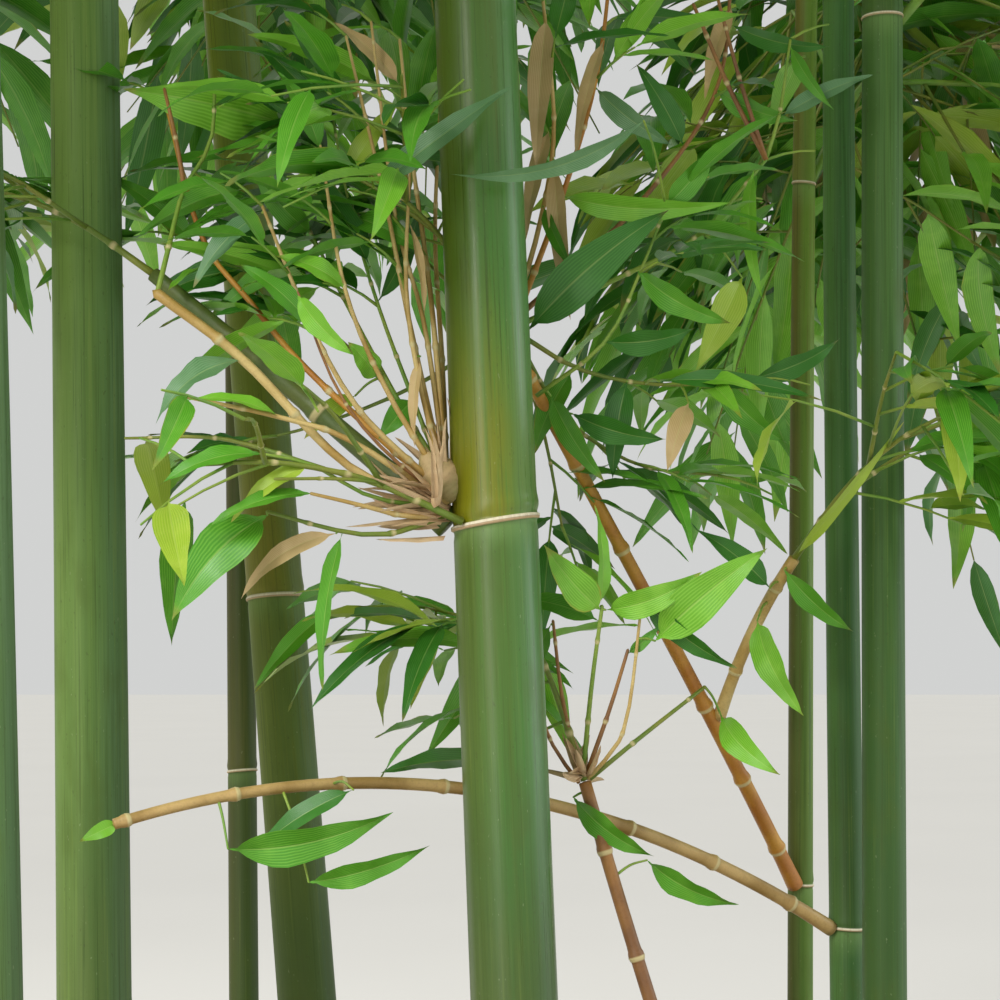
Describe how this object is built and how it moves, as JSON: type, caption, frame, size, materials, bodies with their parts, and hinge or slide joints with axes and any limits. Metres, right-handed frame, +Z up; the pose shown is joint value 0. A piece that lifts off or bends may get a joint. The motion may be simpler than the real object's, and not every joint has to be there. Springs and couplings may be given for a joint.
{
  "type": "potted bamboo",
  "caption": "clump of upright ringed culms in a round tapered planter, with thin side branches and sprays of lance-shaped leaves that arch out toward the top",
  "frame": {"origin": "centre of the planter's flat underside", "axes": "Z up along the culms, the thickest culm stands in front toward -Y, X to the right as seen from the front"},
  "size_m": [2.4389, 2.2394, 4.9473],
  "materials": {
    "terracotta": "matte fired clay",
    "soil": "rough moist soil",
    "culm": "smooth waxy green culm",
    "branch": "smooth straw coloured branch",
    "leaf": "soft satin leaf"
  },
  "bodies": {
    "root": {"bough_fork": "branch", "bough_leaning": "branch", "bough_low": "branch", "bough_node_branch": "branch", "bough_shoot": "branch", "culm_back_left": "culm", "culm_far_left": "culm", "culm_far_right": "culm", "culm_front": "culm", "culm_left": "culm", "culm_rear": "culm", "culm_rear_left": "culm", "culm_rear_right": "culm", "culm_right": "culm", "foliage_back_left_1": "leaf", "foliage_back_left_2": "leaf", "foliage_back_left_3": "leaf", "foliage_back_left_tip": "leaf", "foliage_far_left_1": "leaf", "foliage_far_left_2": "leaf", "foliage_far_left_tip": "leaf", "foliage_far_right_1": "leaf", "foliage_far_right_2": "leaf", "foliage_far_right_3": "leaf", "foliage_far_right_tip": "leaf", "foliage_fork": "leaf", "foliage_front_1": "leaf", "foliage_front_2": "leaf", "foliage_front_3": "leaf", "foliage_front_4": "leaf", "foliage_front_5": "leaf", "foliage_front_tip": "leaf", "foliage_leaning": "leaf", "foliage_left_1": "leaf", "foliage_left_2": "leaf", "foliage_left_3": "leaf", "foliage_left_4": "leaf", "foliage_left_tip": "leaf", "foliage_node_branch": "leaf", "foliage_node_fan": "leaf", "foliage_rear_1": "leaf", "foliage_rear_2": "leaf", "foliage_rear_left_1": "leaf", "foliage_rear_left_2": "leaf", "foliage_rear_left_tip": "leaf", "foliage_rear_right_1": "leaf", "foliage_rear_right_2": "leaf", "foliage_rear_right_tip": "leaf", "foliage_rear_tip": "leaf", "foliage_right_1": "leaf", "foliage_right_2": "leaf", "foliage_right_3": "leaf", "foliage_right_tip": "leaf", "foliage_shoot": "leaf", "pot": "terracotta", "soil": "soil"}
  },
  "joints": []
}
